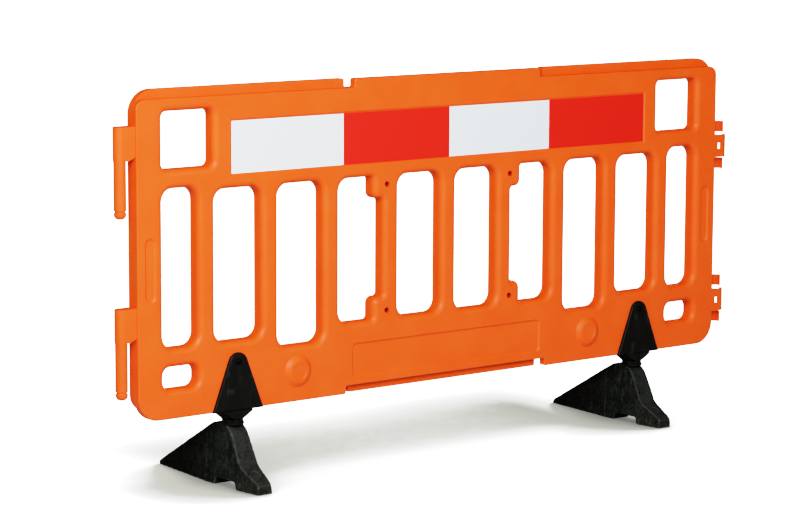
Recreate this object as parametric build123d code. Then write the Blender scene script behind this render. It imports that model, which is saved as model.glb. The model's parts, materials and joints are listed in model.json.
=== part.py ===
"""A free-standing plastic safety barrier: a hollow moulded panel on two swivelling feet.

Sizes are in millimetres. X runs along the panel, Y through it towards the rear, Z up from the ground.
The pieces are drawn about the panel's own middle plane, and moved at the end so that the origin
is on the ground at the centre of the space that the barrier takes up.
"""
import math
import os

from build123d import *

# Panel, overall
PANEL_LENGTH = 1940.0
PANEL_HEIGHT = 806.0
PANEL_THICKNESS = 41.0
PANEL_WALL = 4.0
EDGE_ROUND = 3.0
WINDOW_ROUND = 16.0
REAR_WINDOW_ROUND = 4.0
TOP_CORNER = 60.0
FRONT_TOP_CORNER = 25.0
BOTTOM_CORNER = 60.0
REAR_BOTTOM_CORNER = 45.0

# Stacking lips: the top of one panel keys into the bottom of the next
TOP_LIP_HEIGHT = 23.0
BOTTOM_LIP_HEIGHT = 21.0
TOP_BLOCK_LENGTH = 624.0
BOTTOM_LIP_LENGTH = 636.0
LIP_GAP = 20.0
LIP_STEP_ROUND = 6.0

# Upright slots
SLOTS_PER_SIDE = 5
END_POST = 76.0
END_SLOT_WIDTH = 103.5
BAR_WIDTH = 49.5
SLOT_TOP_BELOW_PANEL_TOP = 253.0
MIDDLE_RAIL_HEIGHT = 182.5
DEEP_RAIL_HEIGHT = 142.0
OUTER_RAIL_HEIGHT = 173.0
END_SLOT_RISE = 11.0
SLOT_CORNER = 32.0

# Square windows beside the reflective sheets, and small ones below the end slots
TOP_WINDOW_WIDTH = 149.5
TOP_WINDOW_HEIGHT = 141.0
TOP_WINDOW_BELOW_PANEL_TOP = 54.5
TOP_WINDOW_CORNER = 16.0
LOW_BAR_HEIGHT = 46.0
LOW_RAIL_HEIGHT = 71.0
LOW_WINDOW_CORNER_SHARE = 0.393

# Pads that carry the sign-fixing holes, in the fourth and seventh slots
PAD_WIDTH = 32.5
PAD_HEIGHT = 58.0
PAD_RIM_CORNER = 1.5
PAD_INSIDE_CORNER = 10.0
SIGN_HOLE_RADIUS = 7.0
SIGN_HOLE_INSET = 22.0

# Reflective sheets in their shallow recess
STRIP_LENGTH = 1384.0
STRIP_HEIGHT = 131.5
STRIP_BELOW_PANEL_TOP = 86.5
STRIP_COLOURS = ("white", "red", "white", "red")
SHEET_RECESS_DEPTH = 3.5
SHEET_THICKNESS = 0.8
SHEET_EDGE_GAP = 0.5

# Moulded details of the panel's faces
RECESS_LEAN_DEGREES = 52.0
PLATE_LENGTH = 630.0
PLATE_HEIGHT = 79.5
PLATE_ABOVE_PANEL_BOTTOM = 45.0
PLATE_DEPTH = 4.0
PLATE_CORNER = 9.0
GROOVE_LENGTH = 149.0
GROOVE_WIDTH = 21.5
GROOVE_DEPTH = 4.0
GROOVE_ABOVE_PANEL_BOTTOM = 369.0
BOSS_SPACING = 982.0
BOSS_SLOT_GAP = 7.5
BOSS_RADIUS = 41.5
BOSS_CROWN_RADIUS = 29.0
BOSS_HEIGHT = 9.0
BOSS_CROWN_ROUND = 18.0
BOSS_DISH_RADIUS = 19.5
BOSS_DISH_DEPTH = 1.5
BOSS_NEST_GAP = 0.5

# Hinge pins on the left end, sockets on the right end
HINGE_PITCH = 439.0
LUG_BELOW_PANEL_TOP = 86.0
LUG_HEIGHT = 72.0
LUG_UNDERCUT = 10.0
LUG_SHOULDER = 1.0
PIN_RADIUS = 15.0
PIN_REACH = 35.0
PIN_LENGTH = 222.0
PIN_NOSE_LENGTH = 15.0
PIN_NOSE_ROUND_SHARE = 0.8
PIN_GROOVE_WIDTH = 6.0
PIN_GROOVE_DEPTH = 2.5
SOCKET_REACH = 30.0
SOCKET_CLEARANCE = 1.5
SOCKET_WALL = 4.0
SOCKET_BELOW_LUG_TOP = 95.0
KNUCKLE_END = 30.0
KNUCKLE_MIDDLE = 62.0
KNUCKLE_GAP = 6.0
KNUCKLE_SLOT_WIDTH = 14.0
KNUCKLE_SLOT_HEIGHT = 18.0
KNUCKLE_SLOT_INSET = 13.5

# Weighted feet
FOOT_SPACING = 1358.0
FOOT_HEIGHT = 157.0
FOOT_REAR_REACH = 318.0
FOOT_FRONT_REACH = 138.0
FOOT_TIP_HEIGHT = 11.0
FOOT_CROWN_REAR = 48.0
FOOT_CROWN_FRONT = 9.0
FOOT_CROWN_ROUND = 14.0
FOOT_SHOULDER_RUN = 20.0
FOOT_SHOULDER_DROP = 16.0
FOOT_SHOULDER_ROUND = 20.0
FOOT_KNEE_REACH = 70.0
FOOT_KNEE_HEIGHT = 61.0
FOOT_KNEE_ROUND = 40.0
FOOT_TOE_HEIGHT = 21.0
FOOT_TOE_BEVEL = 8.0
FOOT_TIP_HALF_WIDTH = 7.0
FOOT_WAIST_HALF_WIDTH = 30.0
FOOT_WAIST_REACH = 75.0
FOOT_HIP_HALF_WIDTH = 31.0
FOOT_HIP_REACH = 60.0
FOOT_TOE_HALF_WIDTH = 21.5
FOOT_DRAFT_DEGREES = 2.0
FOOT_EDGE_ROUND = 2.5
ARCH_HEIGHT = 19.0
ARCH_REAR = 40.0
ARCH_FRONT = 54.0
ARCH_SLOPE = 6.0
TOE_POCKET_WIDTH = 14.0
TOE_POCKET_LENGTH = 18.0
TOE_POCKET_DEPTH = 6.0

# Saddle brackets between the panel and the feet
NECK_HEIGHT = 13.0
NECK_RADIUS = 26.5
COLLAR_HEIGHT = 5.0
COLLAR_RADIUS = 28.5
FUNNEL_HEIGHT = 20.0
FUNNEL_RADIUS = 50.0
SADDLE_FLOOR = 4.0
FLUTE_COUNT = 10
FLUTE_RADIUS = 3.0
CHEEK_SLOT_GAP = 12.0
CHEEK_BASE = 150.0
CHEEK_TIP_RADIUS = 28.0
CHEEK_THICKNESS = 8.0
CHEEK_EDGE_ROUND = 3.0
SADDLE_CLEARANCE = 0.3
SPIGOT_RADIUS = 16.0
SPIGOT_LENGTH = 70.0
SPIGOT_LEAD = 2.0
SPIGOT_CLEARANCE = 0.35
SOCKET_END_GAP = 2.0

# Bracket bolts, which clamp the cheeks to the panel
BRACKET_BOLT_RADIUS = 4.0
BRACKET_BOLT_BELOW_TIP = 23.0
BRACKET_HEAD_RADIUS = 7.0
BRACKET_HEAD_HEIGHT = 4.0
BRACKET_WASHER_RADIUS = 8.0
BRACKET_WASHER_THICKNESS = 1.6
BRACKET_NUT_FLATS = 13.0
BRACKET_NUT_HEIGHT = 8.0
COUNTERBORE_DEPTH = 3.0

# Pivot bolts, which hold the feet on the spigots
PIVOT_BOLT_RADIUS = 6.0
PIVOT_HEAD_FLATS = 18.0
PIVOT_HEAD_HEIGHT = 7.5
PIVOT_WASHER_RADIUS = 12.0
PIVOT_WASHER_THICKNESS = 2.5
PIVOT_NUT_HEIGHT = 12.0
PIVOT_HEAD_POCKET_DEPTH = 14.0

# Small gaps shared by all the fasteners
BOLT_HOLE_CLEARANCE = 0.5
THREAD_GAP = 0.1
NUT_POCKET_CLEARANCE = 0.4
BOLT_TIP = 2.0
CUT_OVERRUN = 5.0

# Places that follow from the sizes above
HALF_LENGTH = PANEL_LENGTH / 2
HALF_DEPTH = PANEL_THICKNESS / 2
PANEL_BOTTOM = FOOT_HEIGHT + NECK_HEIGHT + FUNNEL_HEIGHT + SADDLE_FLOOR
PANEL_TOP = PANEL_BOTTOM + PANEL_HEIGHT
TOP_LEDGE = PANEL_TOP - TOP_LIP_HEIGHT
BOTTOM_LEDGE = PANEL_BOTTOM + BOTTOM_LIP_HEIGHT
SLOT_TOP = PANEL_TOP - SLOT_TOP_BELOW_PANEL_TOP
LOW_WINDOW_HEIGHT = OUTER_RAIL_HEIGHT - LOW_BAR_HEIGHT - LOW_RAIL_HEIGHT
BOSS_Z = PANEL_BOTTOM + DEEP_RAIL_HEIGHT - WINDOW_ROUND - BOSS_SLOT_GAP - BOSS_RADIUS
CHEEK_HEIGHT = OUTER_RAIL_HEIGHT - WINDOW_ROUND - CHEEK_SLOT_GAP
BARS_PER_SIDE = SLOTS_PER_SIDE - 0.5
SLOT_ROOM = HALF_LENGTH - END_POST - END_SLOT_WIDTH - BARS_PER_SIDE * BAR_WIDTH
SLOT_WIDTH = SLOT_ROOM / (SLOTS_PER_SIDE - 1)
SLOT_PITCH = SLOT_WIDTH + BAR_WIDTH
PAD_CORNER = WINDOW_ROUND + PAD_RIM_CORNER
PIN_X = -HALF_LENGTH - PIN_REACH
LUG_RADIUS = PIN_RADIUS + LUG_SHOULDER
SOCKET_X = HALF_LENGTH + SOCKET_REACH
SOCKET_RADIUS = PIN_RADIUS + SOCKET_CLEARANCE
KNUCKLE_RADIUS = SOCKET_RADIUS + SOCKET_WALL
LUG_TOPS = (PANEL_TOP - LUG_BELOW_PANEL_TOP, PANEL_TOP - LUG_BELOW_PANEL_TOP - HINGE_PITCH)
CHEEK_INSIDE = HALF_DEPTH + SADDLE_CLEARANCE
CHEEK_OUTSIDE = CHEEK_INSIDE + CHEEK_THICKNESS
BRACKET_BOLT_Z = PANEL_BOTTOM + CHEEK_HEIGHT - BRACKET_BOLT_BELOW_TIP
BRACKET_HOLE_RADIUS = BRACKET_BOLT_RADIUS + BOLT_HOLE_CLEARANCE
PIVOT_HOLE_RADIUS = PIVOT_BOLT_RADIUS + BOLT_HOLE_CLEARANCE
PIVOT_SEAT_Z = ARCH_HEIGHT + PIVOT_HEAD_POCKET_DEPTH
FUNNEL_BOTTOM = FOOT_HEIGHT + NECK_HEIGHT
NUT_SEAT_Z = PANEL_BOTTOM - BOLT_TIP - PIVOT_NUT_HEIGHT

# The origin is at the middle of the whole barrier's length and depth
LENGTH_OFFSET = (SOCKET_X + KNUCKLE_RADIUS + PIN_X - LUG_RADIUS) / 2
DEPTH_OFFSET = (FOOT_REAR_REACH - FOOT_FRONT_REACH) / 2
TO_ORIGIN = Location((-LENGTH_OFFSET, -DEPTH_OFFSET, 0))


def area(x_low, x_high, z_low, z_high, corner=0.0):
    """A rectangle in X and Z, with round corners if asked."""
    width, height = x_high - x_low, z_high - z_low
    shape = RectangleRounded(width, height, corner) if corner else Rectangle(width, height)
    return Pos((x_low + x_high) / 2, (z_low + z_high) / 2) * shape


def slab(outline, y_near, y_far):
    """Extrude an outline drawn in X and Z from one depth back to another."""
    return extrude(Plane.XZ.offset(-y_near) * outline, amount=y_far - y_near, dir=(0, 1, 0))


def rod(radius, x, y_near, y_far, z):
    """A round bar that lies along Y."""
    return slab(Pos(x, z) * Circle(radius), y_near, y_far)


def post(radius, x, y, z_low, z_high):
    """A round bar that stands along Z."""
    return Pos(x, y, z_low) * extrude(Circle(radius), amount=z_high - z_low)


def hexagon(across_flats):
    """A hexagon with the given distance between its flats."""
    return RegularPolygon(across_flats / 2, 6, major_radius=False)


def between(vertices, reach):
    """Those vertices that lie within reach of the middle of the panel."""
    return vertices.filter_by_position(Axis.X, -reach, reach)


def front_outline():
    """The front half of the panel: low ledge outside at the top, low lips outside at the bottom."""
    outline = area(-HALF_LENGTH, HALF_LENGTH, PANEL_BOTTOM, TOP_LEDGE)
    corners = outline.vertices().group_by(Axis.Y)
    outline = fillet(corners[-1], FRONT_TOP_CORNER)
    outline = fillet(outline.vertices().group_by(Axis.Y)[0], BOTTOM_CORNER)
    block = TOP_BLOCK_LENGTH / 2
    gap = BOTTOM_LIP_LENGTH / 2 + LIP_GAP
    outline += area(-block, block, TOP_LEDGE - EDGE_ROUND, PANEL_TOP)
    outline -= area(-gap, gap, PANEL_BOTTOM - CUT_OVERRUN, BOTTOM_LEDGE)
    return fillet(between(outline.vertices(), gap + LIP_GAP), LIP_STEP_ROUND)


def rear_outline():
    """The rear half of the panel: the reverse of the front half, so that panels key together."""
    outline = area(-HALF_LENGTH, HALF_LENGTH, BOTTOM_LEDGE, PANEL_TOP)
    outline = fillet(outline.vertices().group_by(Axis.Y)[-1], TOP_CORNER)
    outline = fillet(outline.vertices().group_by(Axis.Y)[0], REAR_BOTTOM_CORNER)
    gap = TOP_BLOCK_LENGTH / 2 + LIP_GAP
    lip = BOTTOM_LIP_LENGTH / 2
    outline -= area(-gap, gap, TOP_LEDGE, PANEL_TOP + CUT_OVERRUN)
    outline += area(-lip, lip, PANEL_BOTTOM, BOTTOM_LEDGE + EDGE_ROUND)
    return fillet(between(outline.vertices(), gap + LIP_GAP), LIP_STEP_ROUND)


def slot_edges(number):
    """Inner and outer X of a slot on the right half, counted from the middle."""
    inner = BAR_WIDTH / 2 + number * SLOT_PITCH
    last = number == SLOTS_PER_SIDE - 1
    return inner, inner + (END_SLOT_WIDTH if last else SLOT_WIDTH)


def slot_heights(number):
    """Lowest and highest Z of a slot, counted from the middle."""
    end = SLOTS_PER_SIDE - 1
    rails = {end: OUTER_RAIL_HEIGHT, end - 1: OUTER_RAIL_HEIGHT, end - 2: DEEP_RAIL_HEIGHT}
    rise = END_SLOT_RISE if number == end else 0.0
    return PANEL_BOTTOM + rails.get(number, MIDDLE_RAIL_HEIGHT), SLOT_TOP + rise


def padded_slot(inner, outer, low, high):
    """The second slot from the middle, narrowed at its ends by the pads for the sign holes."""
    slot = area(inner, outer, low, high)
    for z_low, z_high in ((low, low + PAD_HEIGHT), (high - PAD_HEIGHT, high)):
        slot -= area(inner - PAD_WIDTH, inner + PAD_WIDTH, z_low, z_high)
    pad_sides = slot.vertices().group_by(Axis.X)[1].sort_by(Axis.Y)
    slot = fillet(pad_sides[1:3], PAD_CORNER)
    slot = fillet(slot.vertices().group_by(Axis.X)[0], PAD_INSIDE_CORNER)
    slot = fillet(slot.vertices().group_by(Axis.X)[-1], SLOT_CORNER)
    for end in (0, -1):
        pad_end = slot.vertices().group_by(Axis.Y)[end].sort_by(Axis.X)[0]
        slot = fillet(pad_end, PAD_INSIDE_CORNER)
    return slot


def right_windows():
    """Outlines of all the openings on the right half of the panel."""
    openings = []
    for number in range(SLOTS_PER_SIDE):
        inner, outer = slot_edges(number)
        low, high = slot_heights(number)
        if number == 1:
            openings.append(padded_slot(inner, outer, low, high))
        else:
            openings.append(area(inner, outer, low, high, SLOT_CORNER))
    end_inner, end_outer = slot_edges(SLOTS_PER_SIDE - 1)
    top = PANEL_TOP - TOP_WINDOW_BELOW_PANEL_TOP
    openings.append(
        area(end_outer - TOP_WINDOW_WIDTH, end_outer, top - TOP_WINDOW_HEIGHT, top, TOP_WINDOW_CORNER)
    )
    low = PANEL_BOTTOM + LOW_RAIL_HEIGHT
    corner = LOW_WINDOW_HEIGHT * LOW_WINDOW_CORNER_SHARE
    openings.append(area(end_inner, end_outer, low, low + LOW_WINDOW_HEIGHT, corner))
    return openings


def both_sides(outlines):
    """The outlines and their mirror images on the left half."""
    return outlines + [mirror(outline, about=Plane.YZ) for outline in outlines]


def without(outline, holes):
    """An outline with holes cut out of it."""
    for hole in holes:
        outline -= hole
    return outline


def sign_holes():
    """Middles of the four sign-fixing holes, in X and Z."""
    inner = slot_edges(1)[0]
    x = inner + (PAD_WIDTH - BAR_WIDTH) / 2
    low, high = slot_heights(1)
    return [(side * x, z) for side in (-1, 1) for z in (low + SIGN_HOLE_INSET, high - SIGN_HOLE_INSET)]


def grooves():
    """Outlines of the upright finger grooves on the two end posts."""
    z = PANEL_BOTTOM + GROOVE_ABOVE_PANEL_BOTTOM
    x = HALF_LENGTH - END_POST / 2
    return both_sides([Pos(x, z) * SlotOverall(GROOVE_LENGTH, GROOVE_WIDTH, rotation=90)])


def plate():
    """Outline of the bare recessed plate in the bottom rail."""
    low = PANEL_BOTTOM + PLATE_ABOVE_PANEL_BOTTOM
    return area(-PLATE_LENGTH / 2, PLATE_LENGTH / 2, low, low + PLATE_HEIGHT, PLATE_CORNER)


def strip_area(edge_gap):
    """X and Z limits of the reflective strip, drawn in from its recess by edge_gap."""
    top = PANEL_TOP - STRIP_BELOW_PANEL_TOP
    half = STRIP_LENGTH / 2 - edge_gap
    return -half, half, top - STRIP_HEIGHT + edge_gap, top - edge_gap


def hinge_lug(top):
    """A lug on the left end with its downward pin."""
    bottom = top - LUG_HEIGHT
    shoulder = bottom - LUG_UNDERCUT
    root = -HALF_LENGTH + PANEL_WALL
    web = Polyline(
        (root, top), (PIN_X, top), (PIN_X, shoulder), (PIN_X + LUG_RADIUS, shoulder), (root, bottom), close=True
    )
    lug = slab(make_face(web), -LUG_RADIUS, LUG_RADIUS)
    lug += post(LUG_RADIUS, PIN_X, 0, shoulder, top)
    tip = top - PIN_LENGTH
    lug += post(PIN_RADIUS, PIN_X, 0, tip, top)
    tip_edges = lug.edges().group_by(Axis.Z)[0]
    lug = fillet(tip_edges, PIN_NOSE_LENGTH * PIN_NOSE_ROUND_SHARE)
    groove = Pos(PIN_X, 0, tip + PIN_NOSE_LENGTH + PIN_GROOVE_WIDTH / 2) * Torus(
        PIN_RADIUS + PIN_GROOVE_WIDTH / 2 - PIN_GROOVE_DEPTH, PIN_GROOVE_WIDTH / 2
    )
    return lug - groove


def knuckle(z_low, z_high, front):
    """One half loop of a hinge socket, in front of or behind the pin that it holds."""
    y_near, y_far = (-KNUCKLE_RADIUS, 0) if front else (0, KNUCKLE_RADIUS)
    root = HALF_LENGTH - EDGE_ROUND
    reach = SOCKET_X + KNUCKLE_RADIUS
    height = z_high - z_low
    keep = slab(area(root, reach, z_low, z_high), y_near, y_far)
    block = slab(area(root, SOCKET_X, z_low, z_high), y_near, y_far)
    loop = block + (post(KNUCKLE_RADIUS, SOCKET_X, 0, z_low, z_high) & keep)
    loop -= post(SOCKET_RADIUS, SOCKET_X, 0, z_low - height, z_high + height)
    return loop


def hinge_socket(lug_top):
    """Three half loops on the right end: rear, front and rear again."""
    top = lug_top - SOCKET_BELOW_LUG_TOP
    middle_top = top - KNUCKLE_END - KNUCKLE_GAP
    middle_low = middle_top - KNUCKLE_MIDDLE
    low_top = middle_low - KNUCKLE_GAP
    middle = knuckle(middle_low, middle_top, True)
    half_width, half_height = KNUCKLE_SLOT_WIDTH / 2, KNUCKLE_SLOT_HEIGHT / 2
    centre = (middle_low + middle_top) / 2
    x = SOCKET_X - KNUCKLE_SLOT_INSET
    peep = area(x - half_width, x + half_width, centre - half_height, centre + half_height)
    middle -= slab(peep, -KNUCKLE_RADIUS - CUT_OVERRUN, 0)
    return [knuckle(top - KNUCKLE_END, top, False), middle, knuckle(low_top - KNUCKLE_END, low_top, False)]


def bosses(depth, face, grow=0.0):
    """The two low round bosses that stand forward of a face, or their nests when they are grown a little."""
    cone = Cone(BOSS_RADIUS + grow, BOSS_CROWN_RADIUS + grow, depth)
    cone = fillet(cone.edges().group_by(Axis.Z)[-1], BOSS_CROWN_ROUND)
    cone -= Pos(0, 0, (depth - BOSS_DISH_DEPTH) / 2) * Cone(
        BOSS_DISH_RADIUS + grow, BOSS_DISH_RADIUS + BOSS_DISH_DEPTH + grow, BOSS_DISH_DEPTH
    )
    cone = Pos(0, 0, depth / 2) * cone
    return [Plane((side * BOSS_SPACING / 2, face, BOSS_Z), z_dir=(0, -1, 0)) * cone for side in (-1, 1)]


def recesses():
    """Outlines and depths of the shallow recesses that both faces have."""
    return [(area(*strip_area(0)), SHEET_RECESS_DEPTH), (plate(), PLATE_DEPTH)] + [
        (groove, GROOVE_DEPTH) for groove in grooves()
    ]


def dish(outline, depth, outward):
    """The space of a recess in one face, with walls that lean outwards."""
    floor = Plane.XZ.offset(-outward * (HALF_DEPTH - depth))
    return extrude(floor * outline, amount=depth, dir=(0, outward, 0), taper=-RECESS_LEAN_DEGREES)


def round_rims(body, end, rim_round):
    """Round the rims of all the openings in a body's front face, which is end 0, or its rear face, end -1."""
    face = body.faces().sort_by(Axis.Y)[end]
    rims = ShapeList(edge for wire in face.inner_wires() for edge in wire.edges())
    return fillet(rims, rim_round)


def panel_cavity(front, rear, windows):
    """The hollow inside the panel, one wall thickness in from every outer face."""
    grown = [offset(window, PANEL_WALL) for window in windows]
    near, far = -HALF_DEPTH + PANEL_WALL, HALF_DEPTH - PANEL_WALL
    hollow = slab(without(offset(front & rear, -PANEL_WALL), grown), near, far)
    hollow += slab(without(offset(front, -PANEL_WALL), grown), near, -PANEL_WALL)
    hollow += slab(without(offset(rear, -PANEL_WALL), grown), PANEL_WALL, far)
    hollow = round_rims(hollow, 0, WINDOW_ROUND - PANEL_WALL)
    for x, z in sign_holes():
        hollow -= rod(SIGN_HOLE_RADIUS + PANEL_WALL, x, -HALF_DEPTH, HALF_DEPTH, z)
    for side in (-1, 1):
        x = side * FOOT_SPACING / 2
        hollow -= rod(BRACKET_HOLE_RADIUS + PANEL_WALL, x, -HALF_DEPTH, HALF_DEPTH, BRACKET_BOLT_Z)
    for outline, depth in recesses():
        pad = offset(outline, PANEL_WALL + depth * math.tan(math.radians(RECESS_LEAN_DEGREES)))
        hollow -= slab(pad, -HALF_DEPTH, -HALF_DEPTH + depth + PANEL_WALL)
        hollow -= slab(pad, HALF_DEPTH - depth - PANEL_WALL, HALF_DEPTH)
    for nest in bosses(BOSS_HEIGHT + PANEL_WALL, HALF_DEPTH, PANEL_WALL):
        hollow -= nest
    return hollow


def make_panel():
    """The hollow moulded panel with all that is moulded on it."""
    windows = both_sides(right_windows())
    front, rear = front_outline(), rear_outline()
    body = slab(without(front, windows), -HALF_DEPTH, 0) + slab(without(rear, windows), 0, HALF_DEPTH)
    for end, rim_round in ((0, WINDOW_ROUND), (-1, REAR_WINDOW_ROUND)):
        body = round_rims(body, end, rim_round)
        face = body.faces().sort_by(Axis.Y)[end]
        body = fillet(face.outer_wire().edges(), EDGE_ROUND)
    for lug_top in LUG_TOPS:
        body += hinge_lug(lug_top)
        for loop in hinge_socket(lug_top):
            body += loop
    for raised in bosses(BOSS_HEIGHT, -HALF_DEPTH):
        body += raised
    for nest in bosses(BOSS_HEIGHT, HALF_DEPTH, BOSS_NEST_GAP):
        body -= nest
    for outline, depth in recesses():
        for outward in (-1, 1):
            body -= dish(outline, depth, outward)
    body -= panel_cavity(front, rear, windows)
    for x, z in sign_holes():
        body -= rod(SIGN_HOLE_RADIUS, x, -PANEL_THICKNESS, PANEL_THICKNESS, z)
    for side in (-1, 1):
        x = side * FOOT_SPACING / 2
        body -= rod(BRACKET_HOLE_RADIUS, x, -PANEL_THICKNESS, PANEL_THICKNESS, BRACKET_BOLT_Z)
    return body


def make_sheets():
    """The reflective sheets of both faces, in their order from the viewer's left."""
    x_low, x_high, z_low, z_high = strip_area(SHEET_EDGE_GAP)
    count = len(STRIP_COLOURS)
    width = (x_high - x_low) / count
    floor = HALF_DEPTH - SHEET_RECESS_DEPTH
    sheets = {}
    for number, colour in enumerate(STRIP_COLOURS):
        start = x_low + number * width
        front = area(start, start + width, z_low, z_high)
        rear = mirror(front, about=Plane.YZ)
        sheets[f"front_sheet_{number + 1}_{colour}"] = slab(front, -floor - SHEET_THICKNESS, -floor)
        sheets[f"rear_sheet_{number + 1}_{colour}"] = slab(rear, floor, floor + SHEET_THICKNESS)
    return sheets


def cheek_outline():
    """A tall triangle with a round tip, whose sides are tangent to the tip."""
    half = CHEEK_BASE / 2
    centre_z = CHEEK_HEIGHT - CHEEK_TIP_RADIUS
    distance = math.hypot(half, centre_z)
    turn = math.atan2(-centre_z, half) + math.acos(CHEEK_TIP_RADIUS / distance)
    touch_x = CHEEK_TIP_RADIUS * math.cos(turn)
    touch_z = centre_z + CHEEK_TIP_RADIUS * math.sin(turn)
    sides = Polyline((-touch_x, touch_z), (-half, 0), (half, 0), (touch_x, touch_z))
    tip = ThreePointArc((touch_x, touch_z), (0, CHEEK_HEIGHT), (-touch_x, touch_z))
    return make_face([sides, tip])


def make_bracket(x):
    """A saddle that holds the panel's bottom edge, with the neck and spigot that carry it."""
    outline = Pos(x, PANEL_BOTTOM) * cheek_outline()
    front = slab(outline, -CHEEK_OUTSIDE, -CHEEK_INSIDE)
    front = fillet(front.faces().sort_by(Axis.Y)[0].edges(), CHEEK_EDGE_ROUND)
    rear = slab(outline, CHEEK_INSIDE, CHEEK_OUTSIDE)
    rear = fillet(rear.faces().sort_by(Axis.Y)[-1].edges(), CHEEK_EDGE_ROUND)
    funnel = Pos(x, 0, FUNNEL_BOTTOM + FUNNEL_HEIGHT / 2) * Cone(NECK_RADIUS, FUNNEL_RADIUS, FUNNEL_HEIGHT)
    funnel += post(FUNNEL_RADIUS, x, 0, PANEL_BOTTOM - SADDLE_FLOOR, PANEL_BOTTOM)
    limits = area(x - FUNNEL_RADIUS, x + FUNNEL_RADIUS, FUNNEL_BOTTOM, PANEL_BOTTOM)
    funnel &= slab(limits, -CHEEK_OUTSIDE, CHEEK_OUTSIDE)
    neck = post(NECK_RADIUS, x, 0, FOOT_HEIGHT, FUNNEL_BOTTOM)
    for number in range(FLUTE_COUNT):
        turn = 2 * math.pi * (number + 0.5) / FLUTE_COUNT
        flute_x, flute_y = x + NECK_RADIUS * math.cos(turn), NECK_RADIUS * math.sin(turn)
        neck -= post(FLUTE_RADIUS, flute_x, flute_y, FOOT_HEIGHT, FUNNEL_BOTTOM)
    neck += post(COLLAR_RADIUS, x, 0, FOOT_HEIGHT, FOOT_HEIGHT + COLLAR_HEIGHT)
    ledge_support = slab(
        area(x - NECK_RADIUS, x + NECK_RADIUS, PANEL_BOTTOM, BOTTOM_LEDGE), SADDLE_CLEARANCE, CHEEK_INSIDE
    )
    spigot = post(SPIGOT_RADIUS, x, 0, FOOT_HEIGHT - SPIGOT_LENGTH, FOOT_HEIGHT)
    spigot = chamfer(spigot.edges().group_by(Axis.Z)[0], SPIGOT_LEAD)
    saddle = funnel + front + rear + neck + spigot + ledge_support
    saddle -= post(PIVOT_HOLE_RADIUS, x, 0, FOOT_HEIGHT - SPIGOT_LENGTH, PANEL_BOTTOM)
    nut_room = extrude(hexagon(PIVOT_HEAD_FLATS + NUT_POCKET_CLEARANCE), amount=BOTTOM_LEDGE - NUT_SEAT_Z)
    saddle -= Pos(x, 0, NUT_SEAT_Z) * nut_room
    saddle -= rod(BRACKET_HOLE_RADIUS, x, -CHEEK_OUTSIDE, CHEEK_OUTSIDE, BRACKET_BOLT_Z)
    bore = BRACKET_WASHER_RADIUS + BOLT_HOLE_CLEARANCE
    saddle -= rod(bore, x, -CHEEK_OUTSIDE, -CHEEK_OUTSIDE + COUNTERBORE_DEPTH, BRACKET_BOLT_Z)
    return saddle


def ring(radius, hole, x, y_near, y_far, z):
    """A washer that lies across Y."""
    return rod(radius, x, y_near, y_far, z) - rod(hole, x, y_near, y_far, z)


def make_bracket_fasteners(x):
    """The bolt, its two washers and its nut at one bracket."""
    z = BRACKET_BOLT_Z
    washer_hole = BRACKET_BOLT_RADIUS + BOLT_HOLE_CLEARANCE
    head_seat = -CHEEK_OUTSIDE + COUNTERBORE_DEPTH
    head_plane = head_seat - BRACKET_WASHER_THICKNESS
    nut_seat = CHEEK_OUTSIDE + BRACKET_WASHER_THICKNESS
    nut_end = nut_seat + BRACKET_NUT_HEIGHT
    head = rod(BRACKET_HEAD_RADIUS, x, head_plane - BRACKET_HEAD_HEIGHT, head_plane, z)
    head = fillet(head.edges().group_by(Axis.Y)[0], BRACKET_HEAD_HEIGHT / 2)
    key = slab(Pos(x, z) * hexagon(BRACKET_BOLT_RADIUS), head_plane - BRACKET_HEAD_HEIGHT, head_plane)
    bolt = head + rod(BRACKET_BOLT_RADIUS, x, head_plane, nut_end + BOLT_TIP, z)
    bolt -= key
    washers = [
        ring(BRACKET_WASHER_RADIUS, washer_hole, x, head_plane, head_seat, z),
        ring(BRACKET_WASHER_RADIUS, washer_hole, x, CHEEK_OUTSIDE, nut_seat, z),
    ]
    nut = slab(Pos(x, z) * hexagon(BRACKET_NUT_FLATS), nut_seat, nut_end)
    nut -= rod(BRACKET_BOLT_RADIUS + THREAD_GAP, x, nut_seat, nut_end, z)
    return bolt, Compound(children=washers), nut


def foot_profile():
    """The foot seen from its side, in Y and Z: long slope behind, S-shaped slope in front."""
    shoulder = FOOT_CROWN_FRONT + FOOT_SHOULDER_RUN
    outline = make_face(
        Polyline(
            (FOOT_REAR_REACH, 0),
            (FOOT_REAR_REACH, FOOT_TIP_HEIGHT),
            (FOOT_CROWN_REAR, FOOT_HEIGHT),
            (-FOOT_CROWN_FRONT, FOOT_HEIGHT),
            (-shoulder, FOOT_HEIGHT - FOOT_SHOULDER_DROP),
            (-FOOT_KNEE_REACH, FOOT_KNEE_HEIGHT),
            (-FOOT_FRONT_REACH + FOOT_TOE_BEVEL, FOOT_TOE_HEIGHT + FOOT_TOE_BEVEL),
            (-FOOT_FRONT_REACH, FOOT_TOE_HEIGHT),
            (-FOOT_FRONT_REACH, 0),
            (-ARCH_FRONT, 0),
            (-ARCH_FRONT + ARCH_SLOPE, ARCH_HEIGHT),
            (ARCH_REAR - ARCH_SLOPE, ARCH_HEIGHT),
            (ARCH_REAR, 0),
            close=True,
        )
    )
    for level, corner_round in ((-3, FOOT_KNEE_ROUND), (-2, FOOT_SHOULDER_ROUND), (-1, FOOT_CROWN_ROUND)):
        outline = fillet(outline.vertices().group_by(Axis.Y)[level], corner_round)
    return outline


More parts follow.
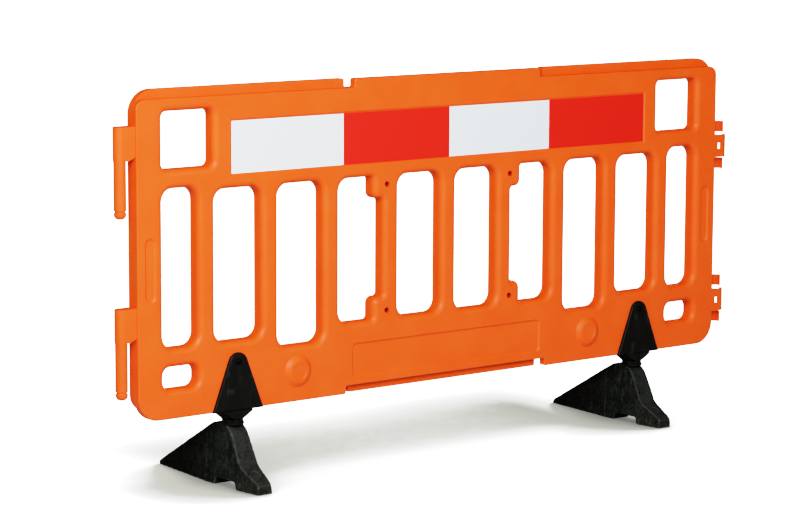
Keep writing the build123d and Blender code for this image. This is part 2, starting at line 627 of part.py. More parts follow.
def foot_plan():
    """The foot seen from above, in X and Y: widest at the hip, narrow at the tip and the toe."""
    right = [
        (FOOT_TOE_HALF_WIDTH, -FOOT_FRONT_REACH),
        (FOOT_HIP_HALF_WIDTH, -FOOT_HIP_REACH),
        (FOOT_WAIST_HALF_WIDTH, FOOT_WAIST_REACH),
        (FOOT_TIP_HALF_WIDTH, FOOT_REAR_REACH),
    ]
    left = [(-x, y) for x, y in reversed(right)]
    return make_face(Polyline(*right, *left, close=True))


def make_foot(x):
    """A weighted foot with its socket for the spigot and its pocket for the pivot bolt's head."""
    across = Plane(origin=(-FOOT_HIP_HALF_WIDTH, 0, 0), x_dir=(0, 1, 0), z_dir=(1, 0, 0))
    block = extrude(across * foot_profile(), amount=2 * FOOT_HIP_HALF_WIDTH)
    block &= extrude(foot_plan(), amount=FOOT_HEIGHT, taper=FOOT_DRAFT_DEGREES)
    above_ground = block.edges().filter_by(lambda edge: edge.center().Z > FOOT_TIP_HEIGHT / 2 + ARCH_HEIGHT)
    block = fillet(above_ground, FOOT_EDGE_ROUND)
    floor = FOOT_HEIGHT - SPIGOT_LENGTH - SOCKET_END_GAP
    block -= post(SPIGOT_RADIUS + SPIGOT_CLEARANCE, 0, 0, floor, FOOT_HEIGHT)
    block -= post(PIVOT_HOLE_RADIUS, 0, 0, 0, FOOT_HEIGHT)
    block -= post(PIVOT_WASHER_RADIUS + BOLT_HOLE_CLEARANCE, 0, 0, 0, PIVOT_SEAT_Z)
    slope_run = FOOT_FRONT_REACH - FOOT_TOE_BEVEL - FOOT_KNEE_REACH
    slope_rise = FOOT_KNEE_HEIGHT - FOOT_TOE_HEIGHT - FOOT_TOE_BEVEL
    pocket_y = -FOOT_KNEE_REACH - slope_run / 2
    pocket_z = FOOT_KNEE_HEIGHT - slope_rise / 2
    slope = Plane((0, pocket_y, pocket_z), x_dir=(1, 0, 0), z_dir=(0, -slope_rise, slope_run))
    block -= slope * Box(TOE_POCKET_WIDTH, TOE_POCKET_LENGTH, 2 * TOE_POCKET_DEPTH)
    return Pos(x, 0, 0) * block


def make_pivot_fasteners(x):
    """The pivot bolt, the washer under its head and the nut in the bracket."""
    washer_low = PIVOT_SEAT_Z - PIVOT_WASHER_THICKNESS
    head_low = washer_low - PIVOT_HEAD_HEIGHT
    bolt = Pos(x, 0, head_low) * extrude(hexagon(PIVOT_HEAD_FLATS), amount=PIVOT_HEAD_HEIGHT)
    bolt += post(PIVOT_BOLT_RADIUS, x, 0, washer_low, PANEL_BOTTOM - BOLT_TIP / 2)
    washer = post(PIVOT_WASHER_RADIUS, x, 0, washer_low, PIVOT_SEAT_Z)
    washer -= post(PIVOT_HOLE_RADIUS, x, 0, washer_low, PIVOT_SEAT_Z)
    nut = Pos(x, 0, NUT_SEAT_Z) * extrude(hexagon(PIVOT_HEAD_FLATS), amount=PIVOT_NUT_HEIGHT)
    nut -= post(PIVOT_BOLT_RADIUS + THREAD_GAP, x, 0, NUT_SEAT_Z, NUT_SEAT_Z + PIVOT_NUT_HEIGHT)
    return bolt, washer, nut


def make_all():
    """Every piece of the barrier by its name."""
    pieces = {"panel": make_panel()}
    pieces.update(make_sheets())
    for side, name in ((-1, "left"), (1, "right")):
        x = side * FOOT_SPACING / 2
        pieces[f"foot_bracket_{name}"] = make_bracket(x)
        bolt, washers, nut = make_bracket_fasteners(x)
        pieces[f"bracket_bolt_{name}"] = bolt
        pieces[f"bracket_washers_{name}"] = washers
        pieces[f"bracket_nut_{name}"] = nut
        pieces[f"foot_{name}"] = make_foot(x)
        bolt, washer, nut = make_pivot_fasteners(x)
        pieces[f"pivot_bolt_{name}"] = bolt
        pieces[f"pivot_washer_{name}"] = washer
        pieces[f"pivot_nut_{name}"] = nut
    return pieces


os.makedirs("parts", exist_ok=True)
for node, piece in make_all().items():
    export_step(TO_ORIGIN * piece, f"parts/{node}.step")
print(f"origin offset {LENGTH_OFFSET:.2f}, {DEPTH_OFFSET:.2f}; slot width {SLOT_WIDTH:.1f}")
print(f"linking pitch {SOCKET_X - PIN_X:.1f}; panel from {PANEL_BOTTOM:.1f} to {PANEL_TOP:.1f}")
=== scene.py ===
# %% [markdown]
# # A plastic safety barrier
# The barrier is a hollow orange panel that stands on two dark swivelling feet. Its shape comes from
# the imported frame, in metres: X runs along the panel, Y towards the rear and Z up from the ground.
# This lesson gives each piece its finish, wears the feet a little, sets up a small white studio and
# looks at the barrier from the angle of the photograph.

import json
import math

import bpy
from mathutils import Matrix, Vector, noise


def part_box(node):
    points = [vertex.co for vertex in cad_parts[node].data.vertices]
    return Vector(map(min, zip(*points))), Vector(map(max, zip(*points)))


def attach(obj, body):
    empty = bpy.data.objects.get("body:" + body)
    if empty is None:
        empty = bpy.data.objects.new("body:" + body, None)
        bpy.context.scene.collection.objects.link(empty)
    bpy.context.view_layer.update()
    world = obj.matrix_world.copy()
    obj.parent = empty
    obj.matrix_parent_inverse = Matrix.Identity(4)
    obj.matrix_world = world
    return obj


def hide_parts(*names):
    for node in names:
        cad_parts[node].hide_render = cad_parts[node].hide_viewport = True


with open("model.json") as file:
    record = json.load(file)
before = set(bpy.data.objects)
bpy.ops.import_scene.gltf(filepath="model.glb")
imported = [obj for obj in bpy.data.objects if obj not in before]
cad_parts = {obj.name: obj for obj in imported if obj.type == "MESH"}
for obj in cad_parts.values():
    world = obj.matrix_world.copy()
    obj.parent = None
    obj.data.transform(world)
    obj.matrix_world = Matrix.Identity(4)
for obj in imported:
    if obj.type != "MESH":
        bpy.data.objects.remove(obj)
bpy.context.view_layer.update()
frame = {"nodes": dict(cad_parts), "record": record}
nodes = frame["nodes"]
record = frame["record"]
scene = bpy.context.scene

# %% [markdown]
# ## Camera
# The photograph was taken with a long lens, a little above the top of the panel and well to its left,
# so the panel runs away to the right. A long lens keeps the two ends nearly the same height. The
# place and the angles were fitted to the panel's corners, so nothing has to be moved by eye.

# %% Place the camera
IMAGE_WIDTH = 800
SENSOR_WIDTH_MM = 36.0
FOCAL_PIXELS = 2812.7
CAMERA_PLACE = Vector((-4.64657, -5.70952, 1.54501))
CAMERA_YAW = math.radians(38.679)
CAMERA_PITCH = math.radians(8.011)
CAMERA_ROLL = math.radians(0.256)
FAR_CLIP = 200.0

lens = bpy.data.cameras.new("photo_camera")
lens.sensor_width = SENSOR_WIDTH_MM
lens.lens = FOCAL_PIXELS * SENSOR_WIDTH_MM / IMAGE_WIDTH
lens.clip_end = FAR_CLIP
camera = bpy.data.objects.new("photo_camera", lens)
scene.collection.objects.link(camera)
turn = Matrix.Rotation(-CAMERA_YAW, 4, "Z")
tilt = Matrix.Rotation(math.pi / 2 - CAMERA_PITCH, 4, "X")
roll = Matrix.Rotation(CAMERA_ROLL, 4, "Z")
camera.matrix_world = Matrix.Translation(CAMERA_PLACE) @ turn @ tilt @ roll
scene.camera = camera
print(f"lens {lens.lens:.1f} mm at {tuple(round(v, 3) for v in CAMERA_PLACE)}")

# %% [markdown]
# ## Shader maths
# A finish is a small graph of nodes. Written as Python expressions it reads like a formula: the class
# below wraps one output socket, and adding or multiplying two of them adds a Math node. A Mix node has
# a set of sockets for each kind of value, so those for colours are picked by their numbers.

# %% Wrap a socket
MIX_FACTOR = 0
MIX_FIRST_COLOUR = 6
MIX_SECOND_COLOUR = 7
MIX_COLOUR_OUT = 2


class Signal:
    """An output socket of a shader graph, which can be used in expressions."""

    def __init__(self, tree, socket=None):
        self.tree = tree
        self.socket = socket

    def node(self, kind, settings=None, sockets=None, out=0):
        """Add a node of any kind: its settings first, then the values or links of its sockets."""
        made = self.tree.nodes.new(kind)
        for name, value in (settings or {}).items():
            setattr(made, name, value)
        for name, value in (sockets or {}).items():
            if isinstance(value, Signal):
                value.feed(made, name)
            else:
                made.inputs[name].default_value = value
        return Signal(self.tree, made.outputs[out])

    def feed(self, node, socket):
        """Link this signal to a socket of another node."""
        self.tree.links.new(self.socket, node.inputs[socket])

    def maths(self, operation, first, second=0.0):
        """Add a Math node on one or two values, in the graph of this signal."""
        return self.node("ShaderNodeMath", {"operation": operation}, {0: first, 1: second})

    def __add__(self, other):
        return self.maths("ADD", self, other)

    def __radd__(self, other):
        return self.maths("ADD", other, self)

    def __sub__(self, other):
        return self.maths("SUBTRACT", self, other)

    def __rsub__(self, other):
        return self.maths("SUBTRACT", other, self)

    def __mul__(self, other):
        return self.maths("MULTIPLY", self, other)

    def __rmul__(self, other):
        return self.maths("MULTIPLY", other, self)

    def __abs__(self):
        return self.maths("ABSOLUTE", self)

    def between(self, low, high):
        """A smooth step from 0 at low to 1 at high."""
        sockets = {"Value": self, "From Min": low, "From Max": high}
        return self.node("ShaderNodeMapRange", {"interpolation_type": "SMOOTHSTEP"}, sockets)

    def mix(self, colour_at_0, colour_at_1):
        """A colour between two others, by this mask."""
        sockets = {MIX_FACTOR: self, MIX_FIRST_COLOUR: colour_at_0, MIX_SECOND_COLOUR: colour_at_1}
        return self.node("ShaderNodeMix", {"data_type": "RGBA"}, sockets, out=MIX_COLOUR_OUT)


print("signals can be added, subtracted and multiplied")

# %% [markdown]
# ## Tools for a finish
# Every finish here starts from the place of a point on the piece, in metres, so the grain has its real
# size and goes with the piece when it moves. Noise stretched along one axis gives streaks. A Bump node
# turns a height in metres into shading.

# %% Start a finish
UPRIGHT_STREAKS = (1.0, 1.0, 6.0)


def start_finish(name, specular):
    """A new material with its shader, and the signal of the place on the piece."""
    material = bpy.data.materials.new(name)
    material.use_nodes = True
    tree = material.node_tree
    shader = tree.nodes["Principled BSDF"]
    shader.inputs["Specular IOR Level"].default_value = specular
    place = Signal(tree).node("ShaderNodeTexCoord", out="Object")
    return material, shader, place


def clouds(place, size, detail=2.0, stretch=(1.0, 1.0, 1.0)):
    """Soft noise from 0 to 1 whose blobs are about as large as size, longer where stretch is above 1."""
    scale = tuple(1.0 / (size * long) for long in stretch)
    scaled = place.node("ShaderNodeVectorMath", {"operation": "MULTIPLY"}, {0: place, 1: scale})
    return place.node("ShaderNodeTexNoise", None, {"Vector": scaled, "Scale": 1.0, "Detail": detail})


def along(place, axis):
    """One coordinate of a place."""
    return place.node("ShaderNodeSeparateXYZ", None, {0: place}, out=axis)


def raise_surface(shader, height):
    """Shade a surface as if it had this height, in metres."""
    sockets = {"Strength": 1.0, "Distance": 1.0, "Height": height}
    height.node("ShaderNodeBump", None, sockets, out="Normal").feed(shader, "Normal")


finishes = {}
print("finish tools ready")

# %% [markdown]
# ## Painted shade in the sign holes
# Four small holes beside the middle slots take the bolts of a sign. Little light gets into them, so
# their walls are painted a darker orange, as painted shade. The record gives the holes' places and
# size, so a mask can find the walls by their distance from the nearest hole's axis. The holes lie
# evenly about a middle, so one sum serves all four.

# %% Find the sign holes
MM = 0.001
HOLE_RIM = 0.0009
SIGN_HOLES = next(mount for mount in record["mounts"] if mount["name"] == "sign_holes")


def in_sign_holes(place):
    """1 on the walls of the four sign holes and 0 elsewhere."""
    sizes = SIGN_HOLES["dims"]
    middle_x, _, middle_z = SIGN_HOLES["pos_m"]
    off_x = abs(along(place, "X") - middle_x) - sizes["spacing_x_mm"] * MM / 2
    off_z = abs(along(place, "Z") - middle_z) - sizes["spacing_y_mm"] * MM / 2
    distance = off_x.maths("SQRT", off_x * off_x + off_z * off_z)
    radius = sizes["hole_r_mm"] * MM
    return distance.between(radius + HOLE_RIM, radius)


print(SIGN_HOLES["dims"]["count"], "sign holes")

# %% [markdown]
# ## Orange moulded plastic
# The panel is blown from polyethylene in a two-part mould. Its colour is even, a little cloudy where
# the wall is thicker, and the skin takes a fine grain from the mould. Large faces are never quite
# flat, because the wall sinks as it cools, and a thin line shows where the mould's halves met. Noise of
# several sizes gives all of these but the line, which lies at the middle of the panel's thickness.

# %% Make the orange plastic
ORANGE = (0.85, 0.1155, 0.0195, 1.0)
ORANGE_CLOUD = (0.86, 0.128, 0.024, 1.0)
# painted shade: the darker orange given to the sign holes' walls, since little light gets into them
HOLE_SHADE = (0.55, 0.050, 0.013, 1.0)
ORANGE_SPECULAR = 0.3
CLOUD_SIZE = 0.09
SHEEN_SIZE = 0.03
GRAIN_SIZE = 0.0012
GRAIN_HEIGHT = 0.00003
SINK_SIZE = 0.16
SINK_HEIGHT = 0.0012
PARTING_HALF_WIDTH = 0.0012
PARTING_HEIGHT = 0.0003

sheet_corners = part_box("front_sheet_1_white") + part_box("rear_sheet_1_white")
panel_middle_y = sum(corner.y for corner in sheet_corners) / len(sheet_corners)


def orange_plastic():
    material, shader, place = start_finish("orange_plastic", ORANGE_SPECULAR)
    grain = clouds(place, GRAIN_SIZE, 1.0)
    plain_orange = clouds(place, CLOUD_SIZE, 3.0).between(0.3, 0.75).mix(ORANGE, ORANGE_CLOUD)
    # The sign holes' walls get a darker orange, as painted shade.
    in_sign_holes(place).mix(plain_orange, HOLE_SHADE).feed(shader, "Base Color")
    (0.36 + 0.10 * clouds(place, SHEEN_SIZE, 3.0) + 0.04 * grain).feed(shader, "Roughness")
    sinks = SINK_HEIGHT * clouds(place, SINK_SIZE, 0.0)
    parting = abs(along(place, "Y") - panel_middle_y).between(PARTING_HALF_WIDTH, 0.0)
    raise_surface(shader, sinks + GRAIN_HEIGHT * grain + PARTING_HEIGHT * parting)
    return material


finishes["orange_plastic"] = orange_plastic()
print("orange plastic, with its parting line at y =", round(panel_middle_y, 4))

# %% [markdown]
# ## Reflective sheets
# White and red film is stuck in the long recess. Its cells send light back to a driver's lamps, and
# show from near by as a fine lattice. Two sets of slanted lines, each a repeating ramp, make it. The
# film isn't made any smoother than this, because a smoother film showed faint blotches.

# %% Make the reflective films
WHITE_FILM = (0.73, 0.81, 0.89, 1.0)
WHITE_CELL = (0.67, 0.75, 0.84, 1.0)
RED_FILM = (0.73, 0.0330, 0.0205, 1.0)
RED_CELL = (0.67, 0.0285, 0.0175, 1.0)
FILM_SPECULAR = 0.4
FILM_ROUGHNESS = 0.275
FILM_SHEEN_SIZE = 0.05
CELL_SIZE = 0.0042
CELL_SLANT = math.radians(60)
CELL_HALF = 0.5
CELL_WALL_FROM = 0.40
WALL_DEPTH = 0.00001
RIPPLE_SIZE = 0.12
RIPPLE_HEIGHT = 0.00003


def cell_walls(place):
    """1 on the walls between the film's cells and 0 inside them."""
    up = along(place, "Z") * math.cos(CELL_SLANT)
    walls = []
    for lean in (-1, 1):
        slanted = along(place, "X") * (lean * math.sin(CELL_SLANT)) + up
        ramp = slanted.maths("FRACT", slanted * (1 / CELL_SIZE))
        walls.append(abs(ramp - CELL_HALF).between(CELL_WALL_FROM, CELL_HALF))
    return walls[0].maths("MAXIMUM", *walls)


def film(name, colour, cell_colour):
    material, shader, place = start_finish(name, FILM_SPECULAR)
    walls = cell_walls(place)
    walls.mix(colour, cell_colour).feed(shader, "Base Color")
    (FILM_ROUGHNESS + 0.03 * clouds(place, FILM_SHEEN_SIZE) + 0.08 * walls).feed(shader, "Roughness")
    raise_surface(shader, RIPPLE_HEIGHT * clouds(place, RIPPLE_SIZE, 0.0) - WALL_DEPTH * walls)
    return material


finishes["white_sheet"] = film("white_sheet", WHITE_FILM, WHITE_CELL)
finishes["red_sheet"] = film("red_sheet", RED_FILM, RED_CELL)
print("white and red film, with cells of", CELL_SIZE, "m")

# %% [markdown]
# ## Black brackets
# The brackets are moulded from hard black plastic with a faint sheen. Pale upright streaks run along
# the flow in the mould and are partly a painted sheen as well, and knocks leave a few grey scuffs.
# Stretched noise gives the streaks. Only the peaks of another noise give the scuffs, so they stay rare.

# %% Make the black plastic
BRACKET_BLACK = (0.0085, 0.0090, 0.0080, 1.0)
# painted sheen: the pale colour of the upright streaks is partly mould flow and partly a painted sheen
BRACKET_STREAK_AND_SHEEN = (0.0160, 0.0170, 0.0155, 1.0)
BRACKET_SCUFF = (0.050, 0.054, 0.056, 1.0)
BRACKET_SPECULAR = 0.22
BRACKET_STREAK_SIZE = 0.012
BRACKET_STREAK_HEIGHT = 0.0001
BRACKET_SHEEN_SIZE = 0.02
BRACKET_GRAIN_SIZE = 0.0009
BRACKET_GRAIN_HEIGHT = 0.00003
SCUFF_SIZE = 0.018
SCUFF_STRETCH = (1.0, 1.0, 2.0)
SCUFF_STRENGTH = 0.35


def black_plastic():
    material, shader, place = start_finish("black_plastic", BRACKET_SPECULAR)
    streaks = clouds(place, BRACKET_STREAK_SIZE, 3.0, UPRIGHT_STREAKS)
    grain = clouds(place, BRACKET_GRAIN_SIZE, 1.0)
    scuffs = clouds(place, SCUFF_SIZE, 3.0, SCUFF_STRETCH).between(0.60, 0.74)
    # The pale streaks are partly mould flow and partly a painted sheen.
    streaks_and_sheen = streaks.between(0.45, 0.8).mix(BRACKET_BLACK, BRACKET_STREAK_AND_SHEEN)
    (SCUFF_STRENGTH * scuffs).mix(streaks_and_sheen, BRACKET_SCUFF).feed(shader, "Base Color")
    (0.34 + 0.16 * clouds(place, BRACKET_SHEEN_SIZE)).feed(shader, "Roughness")
    raise_surface(shader, BRACKET_GRAIN_HEIGHT * grain + BRACKET_STREAK_HEIGHT * streaks)
    return material


finishes["black_plastic"] = black_plastic()
print("black plastic, with scuffs of about", SCUFF_SIZE, "m")

# %% [markdown]
# ## Marks on the feet
# A pale crease runs up each flank of a foot, behind the axis it turns about, and smears cross the
# flank. The crease is a narrow step in Y that wobbles with the streaks of the material. Both marks are
# kept to faces that look to the side.

# %% Mark the flanks
CREASE_BEHIND_AXIS = 0.075
CREASE_HALF_WIDTH = 0.0022
CREASE_WOBBLE = 0.004
SMEAR_SIZE = 0.016
SMEAR_STRETCH = (1.0, 0.7, 3.0)

axis_y = record["behaviour"]["joints"][0]["pos_m"][1]


def flank_marks(place, facing, streaks, rubbed):
    """How pale the crease and the smears make each point of a flank."""
    crease_y = axis_y + CREASE_BEHIND_AXIS + CREASE_WOBBLE * (streaks - 0.5)
    crease = abs(along(place, "Y") - crease_y).between(CREASE_HALF_WIDTH, 0.0)
    smears = clouds(place, SMEAR_SIZE, 2.0, SMEAR_STRETCH).between(0.58, 0.70) * rubbed
    on_flank = abs(along(facing, "X")).between(0.8, 0.95)
    return on_flank * (0.6 * crease * rubbed + 0.4 * smears)


print("crease at y =", round(axis_y + CREASE_BEHIND_AXIS, 4))

# %% [markdown]
# ## Dark feet
# The feet are cast from ground-up waste, so they are charcoal, dull and uneven: streaked from the
# mould, blotched and mottled. Faces that look up are paler, partly from dust and partly as painted light
# from above, and worn edges are rubbed pale. Each of these is a mask, and the colours are laid over each
# other: charcoal first, then the paler tone of the upward faces, then the pale marks. How worn an edge
# is comes from the mesh, where a later step writes it.

# %% Make the foot material
FOOT_DARK = (0.0104, 0.0130, 0.0108, 1.0)
FOOT_CHARCOAL = (0.040, 0.0455, 0.0400, 1.0)
# partly dust and partly painted light: the paler tone of the faces that look up
FOOT_DUST_AND_TOP_LIGHT = (0.033, 0.0352, 0.0332, 1.0)
FOOT_SCUFF = (0.105, 0.108, 0.100, 1.0)
FOOT_SPECULAR = 0.15
FOOT_STREAK_SIZE = 0.011
FOOT_STREAK_HEIGHT = 0.0004
BLOTCH_SIZE = 0.045
MOTTLE_SIZE = 0.008
CRUMB_SIZE = 0.0035
CRUMB_HEIGHT = 0.0004
RUB_SIZE = 0.006


def foot_rubber():
    material, shader, place = start_finish("foot_rubber", FOOT_SPECULAR)
    wear = place.node("ShaderNodeAttribute", {"attribute_name": "wear"}, out="Fac")
    facing = place.node("ShaderNodeTexCoord", out="Normal")
    streaks = clouds(place, FOOT_STREAK_SIZE, 3.0, UPRIGHT_STREAKS)
    blotches = clouds(place, BLOTCH_SIZE, 3.0)
    mottle = clouds(place, MOTTLE_SIZE, 4.0)
    crumbs = clouds(place, CRUMB_SIZE)
    rubbed = clouds(place, RUB_SIZE, 3.0).between(0.35, 0.65)
    shade = streaks * 0.25 + blotches * 0.40 + mottle * 0.55
    charcoal = shade.between(0.42, 0.82).mix(FOOT_DARK, FOOT_CHARCOAL)
    # Faces that look up are paler, partly dust and partly painted light from above.
    patchy = blotches * 0.5 + mottle * 0.5
    dust_and_top_light = along(facing, "Z").between(0.1, 0.6) * patchy.between(0.30, 0.66)
    edges = wear * (0.4 + 0.6 * rubbed)
    specks = crumbs.between(0.60, 0.75)
    pale = edges + flank_marks(place, facing, streaks, rubbed) + 0.14 * specks
    pale.mix(dust_and_top_light.mix(charcoal, FOOT_DUST_AND_TOP_LIGHT), FOOT_SCUFF).feed(shader, "Base Color")
    (0.62 + 0.2 * crumbs).feed(shader, "Roughness")
    raise_surface(shader, CRUMB_HEIGHT * crumbs + FOOT_STREAK_HEIGHT * streaks)
    return material


finishes["foot_rubber"] = foot_rubber()
print("foot material, with crumbs of", CRUMB_SIZE, "m")

# %% [markdown]
# ## Steel
# Bolts, nuts and washers are steel. Those of the pivots are zinc plated, and cloudy like all plating.
# Those of the brackets are blackened and sit deep in round recesses, where they look like dark spots,
# so their colour is made darker still, as painted shade.
# One function makes both, because only the colours and the share of bare metal differ.

# %% Make the steels
ZINC = (0.50, 0.51, 0.52, 1.0)
ZINC_CLOUD = (0.62, 0.62, 0.60, 1.0)
ZINC_METAL = 1.0
# painted shade: the brackets' bolts are coloured darker still for the shade of their deep recesses
BLACK_STEEL_AND_SHADE = (0.003, 0.003, 0.0035, 1.0)
BLACK_STEEL_WORN_AND_SHADE = (0.010, 0.010, 0.0105, 1.0)
BLACK_STEEL_METAL = 0.6
STEEL_SPECULAR = 0.5
PLATING_SIZE = 0.004
POLISH_SIZE = 0.002


def steel(name, colour, cloud_colour, metallic):
    material, shader, place = start_finish(name, STEEL_SPECULAR)
    shader.inputs["Metallic"].default_value = metallic
    plating = clouds(place, PLATING_SIZE, 3.0).between(0.35, 0.7)
    plating.mix(colour, cloud_colour).feed(shader, "Base Color")
    (0.30 + 0.25 * clouds(place, POLISH_SIZE)).feed(shader, "Roughness")
    return material


finishes["zinc_steel"] = steel("zinc_steel", ZINC, ZINC_CLOUD, ZINC_METAL)
finishes["black_steel"] = steel("black_steel", BLACK_STEEL_AND_SHADE, BLACK_STEEL_WORN_AND_SHADE, BLACK_STEEL_METAL)
print(len(finishes), "finishes:", ", ".join(finishes))

# %% [markdown]
# ## Dressing the pieces
# The record names the finish of each piece. The shapes stay as the frame gives them, and only their
# material is set, so the pieces still fit and move as they were built.

# %% Dress the nodes
for subpart in record["subparts"]:
    mesh = nodes[subpart["node"]].data
    mesh.materials.clear()
    mesh.materials.append(finishes[subpart["material_slot"]])
print("dressed", len(record["subparts"]), "nodes")

# %% [markdown]
# ## Worn feet
# A foot is dragged, dropped and kicked, so its edges are chipped and rubbed pale. A smooth CAD solid
# can't show that. Here each foot is rebuilt as an even net of small faces, which a voxel remesh gives.
# On such a net, a point that stands out from the middle of its neighbours lies on an edge.

# %% Rebuild a shape as a net
NET_SIZE = 0.0025


def even_net(source, name):
    """A copy of a node's shape as an even net of small faces."""
    piece = bpy.data.objects.new(name, source.data.copy())
    scene.collection.objects.link(piece)
    remesh = piece.modifiers.new("net", "REMESH")
    remesh.mode = "VOXEL"
    remesh.voxel_size = NET_SIZE
    remesh.use_smooth_shade = True
    shown = piece.evaluated_get(bpy.context.evaluated_depsgraph_get())
    piece.data = bpy.data.meshes.new_from_object(shown)
    piece.modifiers.clear()
    return piece


def edge_sharpness(mesh):
    """How far each point stands out from the middle of its neighbours, along its normal."""
    sums = [Vector() for _ in mesh.vertices]
    counts = [0] * len(mesh.vertices)
    for edge in mesh.edges:
        first, second = edge.vertices
        sums[first] += mesh.vertices[second].co
        sums[second] += mesh.vertices[first].co
        counts[first] += 1
        counts[second] += 1
    return [
        point.normal.dot(point.co - total / count)
        for point, total, count in zip(mesh.vertices, sums, counts)
    ]


print("net of faces of", NET_SIZE, "m")

# %% [markdown]
# ## Dents and chips
# The net's surface is pressed inwards by noise: shallow dents all over, and deeper chips on the edges.
# Pressing only inwards keeps the foot within its size. The bore round the spigot stays as it is, so
# that the foot still turns freely. How worn each point is gets written to the mesh for the finish.

# %% Wear a foot
BORE_KEPT = 0.030
DENT_SIZE = 0.035
DENT_DEPTH = 0.0008
CHIP_SIZE = 0.010
CHIP_DEPTH = 0.0022
SHARP = 0.00035


def wear_down(mesh, axis):
    """Press a foot's surface inwards, and keep how much each point is worn."""
    sharp = edge_sharpness(mesh)
    wear = mesh.attributes.new("wear", "FLOAT", "POINT")
    moves = []
    for point, stand_out in zip(mesh.vertices, sharp):
        reach = (point.co.xy - axis.xy).length
        free = min(max((reach - BORE_KEPT) / BORE_KEPT, 0.0), 1.0)
        edge = min(max(stand_out / SHARP, 0.0), 1.0)
        dent = 0.5 + 0.5 * noise.noise(point.co / DENT_SIZE)
        chip = max(noise.noise(point.co / CHIP_SIZE), 0.0)
        moves.append(-point.normal * free * (DENT_DEPTH * dent + CHIP_DEPTH * chip * edge))
        wear.data[point.index].value = edge * (0.4 + 0.6 * chip)
    for point, move in zip(mesh.vertices, moves):
        point.co += move
        point.co.z = max(point.co.z, 0.0)


print("dents of", DENT_DEPTH, "m and chips of", CHIP_DEPTH, "m at most")

# %% Replace the feet
for joint in record["behaviour"]["joints"]:
    body = joint["child"]
    node = "foot_" + body.split("_")[0]
    foot = even_net(nodes[node], f"worn_{node}")
    wear_down(foot.data, Vector(joint["pos_m"]))
    foot.data.materials.clear()
    foot.data.materials.append(finishes["foot_rubber"])
    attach(foot, body)
    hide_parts(node)
    print(foot.name, len(foot.data.vertices), "points")

# %% [markdown]
# ## Studio floor
# The photograph is a cut-out on white: the floor is white but for a soft shade behind the panel and
# around the feet. A lamp bright enough to whiten the whole floor would flatten the barrier. So the
# floor has two faces. Light that bounces meets a matt pale grey. The camera meets a glow that is white
# in the open and falls to grey where the floor's view is blocked. Two probes measure that. One leans
# forward and reaches far, and finds the panel: it gives the wide band behind it. The other leans to
# the right and reaches less far, and finds the feet: it gives the short shade at their left and the
# dark line where they stand. The shade is deeper at the barrier's right end.

# %% Probe the floor
PROBE_SAMPLES = 40
BAND_LEAN = math.radians(50)
BAND_REACH = 0.7
BAND_FULL = 0.815
BAND_NONE = 0.98
BAND_FADES_AT = 0.55
BAND_ENDS_AT = 0.80
CONTACT_LEAN = math.radians(28)
CONTACT_REACH = 0.26


def lean_towards(start, axis, angle):
    """A direction that leans from straight up towards an axis."""
    return start.node("ShaderNodeCombineXYZ", None, {axis: math.sin(angle), "Z": math.cos(angle)})


def openness(start, reach, direction):
    """How much of its view around a direction a point of the floor has free, up to a distance."""
    sockets = {"Distance": reach, "Normal": direction}
    return start.node("ShaderNodeAmbientOcclusion", {"samples": PROBE_SAMPLES}, sockets, out="AO")


def clear_of_panel(start, place):
    """0 in the band behind the panel and 1 in the open, with soft ends."""
    ahead = openness(start, BAND_REACH, lean_towards(start, "Y", -BAND_LEAN))
    ends = abs(along(place, "X")).between(BAND_FADES_AT, BAND_ENDS_AT)
    return start.maths("MAXIMUM", ahead.between(BAND_FULL, BAND_NONE), ends)


print("probes reach", BAND_REACH, "and", CONTACT_REACH, "m")

# %% Lay the floor
FLOOR_HALF = 60.0
FLOOR_COLOUR = (0.55, 0.55, 0.54, 1.0)
FLOOR_WHITE = (2.9, 2.9, 2.9, 1.0)
FLOOR_SHADE = (0.60, 0.60, 0.55, 1.0)
FLOOR_SHADE_RIGHT = (0.43, 0.44, 0.40, 1.0)
RIGHT_BEGINS_AT = 0.2
RIGHT_FULL_AT = 0.75
CONTACT_FULL = 0.74
CONTACT_DARK = 0.4
UNDER_FULL = 0.15
UNDER_NONE = 0.70


def pale_floor():
    material = bpy.data.materials.new("pale_floor")
    material.use_nodes = True
    tree = material.node_tree
    tree.nodes.remove(tree.nodes["Principled BSDF"])
    start = Signal(tree)
    seen = start.node("ShaderNodeLightPath", out="Is Camera Ray")
    place = start.node("ShaderNodeNewGeometry", out="Position")
    close = openness(start, CONTACT_REACH, lean_towards(start, "X", CONTACT_LEAN))
    free = start.maths("MINIMUM", clear_of_panel(start, place), close.between(CONTACT_FULL, 1.0))
    right = along(place, "X").between(RIGHT_BEGINS_AT, RIGHT_FULL_AT)
    shade = free.mix(right.mix(FLOOR_SHADE, FLOOR_SHADE_RIGHT), FLOOR_WHITE)
    dimmed = CONTACT_DARK + (1 - CONTACT_DARK) * close.between(UNDER_FULL, UNDER_NONE)
    matt = start.node("ShaderNodeBsdfDiffuse", None, {"Color": FLOOR_COLOUR})
    glow = start.node("ShaderNodeEmission", None, {"Color": shade, "Strength": dimmed})
    both = start.node("ShaderNodeMixShader", None, {0: seen, 1: matt, 2: glow})
    both.feed(tree.nodes["Material Output"], "Surface")
    return material


floor_mesh = bpy.data.meshes.new("floor")
corners = [(x * FLOOR_HALF, y * FLOOR_HALF, 0.0) for x, y in ((-1, -1), (1, -1), (1, 1), (-1, 1))]
floor_mesh.from_pydata(corners, [], [(0, 1, 2, 3)])
floor = bpy.data.objects.new("floor", floor_mesh)
scene.collection.objects.link(floor)
floor_mesh.materials.append(pale_floor())
print("floor of", 2 * FLOOR_HALF, "m")

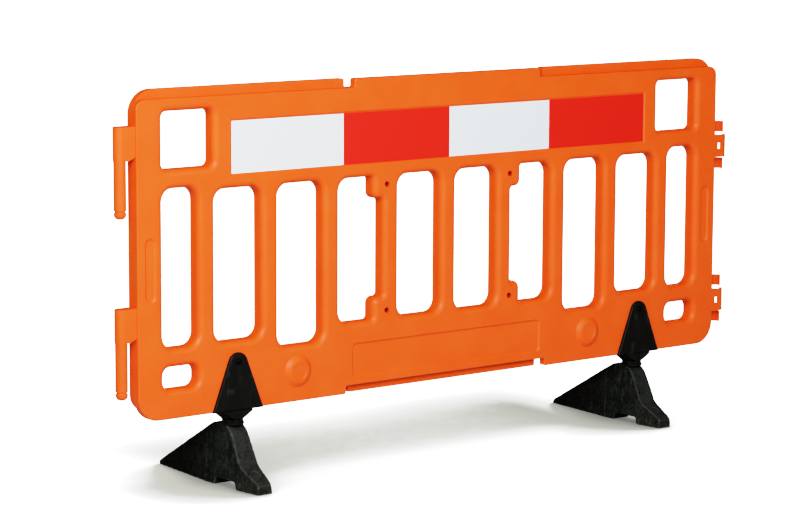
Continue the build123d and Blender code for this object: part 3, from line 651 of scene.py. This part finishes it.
# %% [markdown]
# ## Lamps
# The panel is bright at its left end and falls off to the right, and the walls inside the slots, which
# face left, are darker than the front. So the main softbox stands at the left, a second one near the
# camera fills the front, and a weak one softens the right. One more lights the rear. It stands far to
# the right, so that those walls stay dark, and it gives no gloss, so that it isn't mirrored in the
# sills of the slots.

# %% Set the lamps
PANEL_MIDDLE = Vector((0.0, 0.0, 0.55))
LAMPS = {
    "key": {"place": (-2.7, -2.4, 2.5), "size": 2.2, "power": 155},
    "front": {"place": (-2.5, -5.5, 3.0), "size": 2.0, "power": 142},
    "fill": {"place": (1.0, -3.8, 2.2), "size": 2.0, "power": 38},
    "rear": {"place": (6.0, 3.6, 1.8), "size": 3.0, "power": 450},
}


def softbox(name, place, size, power):
    """A square lamp that faces the middle of the panel."""
    light = bpy.data.lights.new(name, "AREA")
    light.size = size
    light.energy = power
    lamp = bpy.data.objects.new(name, light)
    lamp.location = place
    aim = PANEL_MIDDLE - Vector(place)
    lamp.rotation_euler = aim.to_track_quat("-Z", "Y").to_euler()
    scene.collection.objects.link(lamp)
    print(name, "softbox", round(aim.length, 2), "m away")
    return lamp


lamps = {name: softbox(name, **values) for name, values in LAMPS.items()}
lamps["rear"].visible_glossy = False

# %% [markdown]
# ## Surround
# A white room would light the barrier from all sides and wash out its shape. So the surround is white
# only where the camera looks at it, and gives almost no light.

# %% Set the surround
SURROUND_COLOUR = (1.0, 1.0, 1.0, 1.0)
SURROUND_LIGHT = 0.02
SURROUND_SEEN = 3.2

scene.world = bpy.data.worlds.new("studio")
scene.world.use_nodes = True
surround = scene.world.node_tree.nodes["Background"]
surround.inputs["Color"].default_value = SURROUND_COLOUR
seen = Signal(scene.world.node_tree).node("ShaderNodeLightPath", out="Is Camera Ray")
(SURROUND_LIGHT + (SURROUND_SEEN - SURROUND_LIGHT) * seen).feed(surround, "Strength")
print("surround of", SURROUND_SEEN, "seen and", SURROUND_LIGHT, "given")

# %% [markdown]
# ## Exposure
# A camera holds back the brightest tones: reds and whites come close to each other near the top of the
# scale, and the deepest tones sink. A curve in the view settings does the same.

# %% Set the tone curve
COMBINED_CURVE = 3
TONES = (
    (0.0, 0.0), (0.02, 0.005), (0.05, 0.026), (0.10, 0.078), (0.20, 0.195), (0.35, 0.35),
    (0.60, 0.63), (0.80, 0.755), (1.0, 0.82), (1.4, 0.852), (1.9, 0.885), (2.8, 1.0),
)

scene.view_settings.view_transform = "Standard"
scene.view_settings.use_curve_mapping = True
curves = scene.view_settings.curve_mapping
curves.use_clip = False
tone_curve = curves.curves[COMBINED_CURVE]
tone_curve.points[0].location = TONES[0]
tone_curve.points[1].location = TONES[-1]
for tone in TONES[1:-1]:
    tone_curve.points.new(*tone)
curves.update()
print("tone curve of", len(tone_curve.points), "points")
